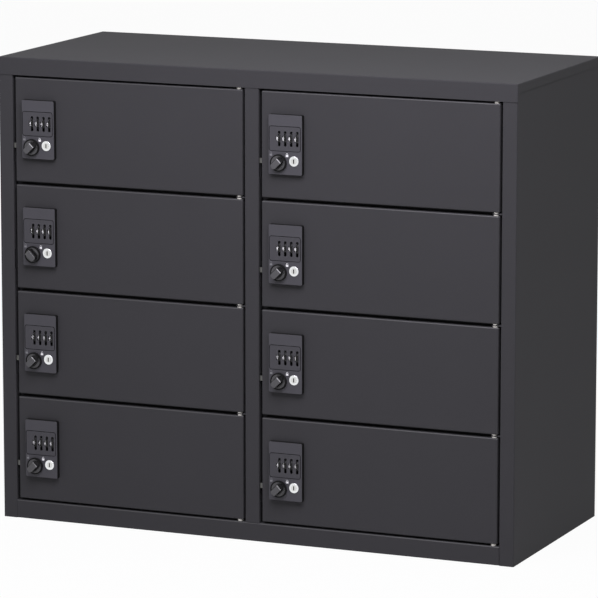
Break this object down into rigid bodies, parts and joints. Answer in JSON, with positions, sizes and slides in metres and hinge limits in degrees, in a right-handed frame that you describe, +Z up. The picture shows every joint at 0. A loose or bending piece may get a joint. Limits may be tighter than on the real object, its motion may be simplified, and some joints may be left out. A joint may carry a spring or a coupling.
{
  "type": "personal locker",
  "caption": "Low steel personal locker with columns of hinged doors, each with a combination lock, a turning knob and a key override cylinder.",
  "frame": {"origin": "middle of the underside of the box around the whole locker, knobs included", "axes": "+X to the right as seen from the front, +Y from the doors to the back, +Z up"},
  "size_m": [0.882, 0.4024, 0.75],
  "materials": {
    "powder_coated_steel": "satin charcoal powder coat, fine texture",
    "lock_plastic": "fine grained grey plastic",
    "wheel_plastic": "black moulded plastic",
    "knob_plastic": "satin black moulded plastic",
    "chrome": "bright chrome plate",
    "plated_steel": "zinc plate",
    "nylon": "natural nylon",
    "bumper_rubber": "soft black rubber",
    "marking_paint": "white printed digits and signs; on no solid, for the visual model's print"
  },
  "bodies": {
    "cabinet": {"top_cap": "powder_coated_steel", "left_side_panel": "powder_coated_steel", "right_side_panel": "powder_coated_steel", "centre_partition": "powder_coated_steel", "back_panel": "powder_coated_steel", "base_panel": "powder_coated_steel", "left_shelves": "powder_coated_steel", "right_shelves": "powder_coated_steel", "hinge_plates": "powder_coated_steel", "hinge_pins": "plated_steel", "hinge_washers": "nylon", "door_bumpers": "bumper_rubber"},
    "door_left_1": {"door_panel_left_1": "powder_coated_steel", "lock_case_left_1": "lock_plastic"},
    "wheels_left_1": {"number_wheels_left_1": "wheel_plastic"},
    "knob_left_1": {"lock_knob_left_1": "knob_plastic", "lock_cam_left_1": "plated_steel"},
    "key_left_1": {"key_cylinder_left_1": "chrome"},
    "door_left_2": {"door_panel_left_2": "powder_coated_steel", "lock_case_left_2": "lock_plastic"},
    "wheels_left_2": {"number_wheels_left_2": "wheel_plastic"},
    "knob_left_2": {"lock_knob_left_2": "knob_plastic", "lock_cam_left_2": "plated_steel"},
    "key_left_2": {"key_cylinder_left_2": "chrome"},
    "door_left_3": {"door_panel_left_3": "powder_coated_steel", "lock_case_left_3": "lock_plastic"},
    "wheels_left_3": {"number_wheels_left_3": "wheel_plastic"},
    "knob_left_3": {"lock_knob_left_3": "knob_plastic", "lock_cam_left_3": "plated_steel"},
    "key_left_3": {"key_cylinder_left_3": "chrome"},
    "door_left_4": {"door_panel_left_4": "powder_coated_steel", "lock_case_left_4": "lock_plastic"},
    "wheels_left_4": {"number_wheels_left_4": "wheel_plastic"},
    "knob_left_4": {"lock_knob_left_4": "knob_plastic", "lock_cam_left_4": "plated_steel"},
    "key_left_4": {"key_cylinder_left_4": "chrome"},
    "door_right_1": {"door_panel_right_1": "powder_coated_steel", "lock_case_right_1": "lock_plastic"},
    "wheels_right_1": {"number_wheels_right_1": "wheel_plastic"},
    "knob_right_1": {"lock_knob_right_1": "knob_plastic", "lock_cam_right_1": "plated_steel"},
    "key_right_1": {"key_cylinder_right_1": "chrome"},
    "door_right_2": {"door_panel_right_2": "powder_coated_steel", "lock_case_right_2": "lock_plastic"},
    "wheels_right_2": {"number_wheels_right_2": "wheel_plastic"},
    "knob_right_2": {"lock_knob_right_2": "knob_plastic", "lock_cam_right_2": "plated_steel"},
    "key_right_2": {"key_cylinder_right_2": "chrome"},
    "door_right_3": {"door_panel_right_3": "powder_coated_steel", "lock_case_right_3": "lock_plastic"},
    "wheels_right_3": {"number_wheels_right_3": "wheel_plastic"},
    "knob_right_3": {"lock_knob_right_3": "knob_plastic", "lock_cam_right_3": "plated_steel"},
    "key_right_3": {"key_cylinder_right_3": "chrome"},
    "door_right_4": {"door_panel_right_4": "powder_coated_steel", "lock_case_right_4": "lock_plastic"},
    "wheels_right_4": {"number_wheels_right_4": "wheel_plastic"},
    "knob_right_4": {"lock_knob_right_4": "knob_plastic", "lock_cam_right_4": "plated_steel"},
    "key_right_4": {"key_cylinder_right_4": "chrome"}
  },
  "joints": [
    {"name": "door_left_1_swing", "type": "hinge", "parent": "cabinet", "child": "door_left_1", "pos_m": [-0.0226, -0.17435, 0.63494], "axis": [0, 0, 1], "range_deg": [0, 110]},
    {"name": "knob_left_1_turn", "type": "hinge", "parent": "door_left_1", "child": "knob_left_1", "pos_m": [-0.3782, -0.17985, 0.60854], "axis": [0, -1, 0], "range_deg": [0, 90]},
    {"name": "wheels_left_1_spin", "type": "hinge", "parent": "door_left_1", "child": "wheels_left_1", "pos_m": [-0.381, -0.17735, 0.64644], "axis": [1, 0, 0], "continuous": true},
    {"name": "key_left_1_turn", "type": "hinge", "parent": "door_left_1", "child": "key_left_1", "pos_m": [-0.3525, -0.17985, 0.61204], "axis": [0, 1, 0], "range_deg": [0, 90]},
    {"name": "door_left_2_swing", "type": "hinge", "parent": "cabinet", "child": "door_left_2", "pos_m": [-0.0226, -0.17435, 0.46231], "axis": [0, 0, 1], "range_deg": [0, 110]},
    {"name": "knob_left_2_turn", "type": "hinge", "parent": "door_left_2", "child": "knob_left_2", "pos_m": [-0.3782, -0.17985, 0.43591], "axis": [0, -1, 0], "range_deg": [-90, 0]},
    {"name": "wheels_left_2_spin", "type": "hinge", "parent": "door_left_2", "child": "wheels_left_2", "pos_m": [-0.381, -0.17735, 0.47381], "axis": [1, 0, 0], "continuous": true},
    {"name": "key_left_2_turn", "type": "hinge", "parent": "door_left_2", "child": "key_left_2", "pos_m": [-0.3525, -0.17985, 0.43941], "axis": [0, 1, 0], "range_deg": [0, 90]},
    {"name": "door_left_3_swing", "type": "hinge", "parent": "cabinet", "child": "door_left_3", "pos_m": [-0.0226, -0.17435, 0.28969], "axis": [0, 0, 1], "range_deg": [0, 110]},
    {"name": "knob_left_3_turn", "type": "hinge", "parent": "door_left_3", "child": "knob_left_3", "pos_m": [-0.3782, -0.17985, 0.26329], "axis": [0, -1, 0], "range_deg": [0, 90]},
    {"name": "wheels_left_3_spin", "type": "hinge", "parent": "door_left_3", "child": "wheels_left_3", "pos_m": [-0.381, -0.17735, 0.30119], "axis": [1, 0, 0], "continuous": true},
    {"name": "key_left_3_turn", "type": "hinge", "parent": "door_left_3", "child": "key_left_3", "pos_m": [-0.3525, -0.17985, 0.26679], "axis": [0, 1, 0], "range_deg": [0, 90]},
    {"name": "door_left_4_swing", "type": "hinge", "parent": "cabinet", "child": "door_left_4", "pos_m": [-0.0226, -0.17435, 0.11706], "axis": [0, 0, 1], "range_deg": [0, 110]},
    {"name": "knob_left_4_turn", "type": "hinge", "parent": "door_left_4", "child": "knob_left_4", "pos_m": [-0.3782, -0.17985, 0.09066], "axis": [0, -1, 0], "range_deg": [0, 90]},
    {"name": "wheels_left_4_spin", "type": "hinge", "parent": "door_left_4", "child": "wheels_left_4", "pos_m": [-0.381, -0.17735, 0.12856], "axis": [1, 0, 0], "continuous": true},
    {"name": "key_left_4_turn", "type": "hinge", "parent": "door_left_4", "child": "key_left_4", "pos_m": [-0.3525, -0.17985, 0.09416], "axis": [0, 1, 0], "range_deg": [0, 90]},
    {"name": "door_right_1_swing", "type": "hinge", "parent": "cabinet", "child": "door_right_1", "pos_m": [0.4054, -0.17435, 0.63494], "axis": [0, 0, 1], "range_deg": [0, 110]},
    {"name": "knob_right_1_turn", "type": "hinge", "parent": "door_right_1", "child": "knob_right_1", "pos_m": [0.0498, -0.17985, 0.60854], "axis": [0, -1, 0], "range_deg": [0, 90]},
    {"name": "wheels_right_1_spin", "type": "hinge", "parent": "door_right_1", "child": "wheels_right_1", "pos_m": [0.047, -0.17735, 0.64644], "axis": [1, 0, 0], "continuous": true},
    {"name": "key_right_1_turn", "type": "hinge", "parent": "door_right_1", "child": "key_right_1", "pos_m": [0.0755, -0.17985, 0.61204], "axis": [0, 1, 0], "range_deg": [0, 90]},
    {"name": "door_right_2_swing", "type": "hinge", "parent": "cabinet", "child": "door_right_2", "pos_m": [0.4054, -0.17435, 0.46231], "axis": [0, 0, 1], "range_deg": [0, 110]},
    {"name": "knob_right_2_turn", "type": "hinge", "parent": "door_right_2", "child": "knob_right_2", "pos_m": [0.0498, -0.17985, 0.43591], "axis": [0, -1, 0], "range_deg": [0, 90]},
    {"name": "wheels_right_2_spin", "type": "hinge", "parent": "door_right_2", "child": "wheels_right_2", "pos_m": [0.047, -0.17735, 0.47381], "axis": [1, 0, 0], "continuous": true},
    {"name": "key_right_2_turn", "type": "hinge", "parent": "door_right_2", "child": "key_right_2", "pos_m": [0.0755, -0.17985, 0.43941], "axis": [0, 1, 0], "range_deg": [0, 90]},
    {"name": "door_right_3_swing", "type": "hinge", "parent": "cabinet", "child": "door_right_3", "pos_m": [0.4054, -0.17435, 0.28969], "axis": [0, 0, 1], "range_deg": [0, 110]},
    {"name": "knob_right_3_turn", "type": "hinge", "parent": "door_right_3", "child": "knob_right_3", "pos_m": [0.0498, -0.17985, 0.26329], "axis": [0, -1, 0], "range_deg": [0, 90]},
    {"name": "wheels_right_3_spin", "type": "hinge", "parent": "door_right_3", "child": "wheels_right_3", "pos_m": [0.047, -0.17735, 0.30119], "axis": [1, 0, 0], "continuous": true},
    {"name": "key_right_3_turn", "type": "hinge", "parent": "door_right_3", "child": "key_right_3", "pos_m": [0.0755, -0.17985, 0.26679], "axis": [0, 1, 0], "range_deg": [0, 90]},
    {"name": "door_right_4_swing", "type": "hinge", "parent": "cabinet", "child": "door_right_4", "pos_m": [0.4054, -0.17435, 0.11706], "axis": [0, 0, 1], "range_deg": [0, 110]},
    {"name": "knob_right_4_turn", "type": "hinge", "parent": "door_right_4", "child": "knob_right_4", "pos_m": [0.0498, -0.17985, 0.09066], "axis": [0, -1, 0], "range_deg": [0, 90]},
    {"name": "wheels_right_4_spin", "type": "hinge", "parent": "door_right_4", "child": "wheels_right_4", "pos_m": [0.047, -0.17735, 0.12856], "axis": [1, 0, 0], "continuous": true},
    {"name": "key_right_4_turn", "type": "hinge", "parent": "door_right_4", "child": "key_right_4", "pos_m": [0.0755, -0.17985, 0.09416], "axis": [0, 1, 0], "range_deg": [0, 90]}
  ]
}
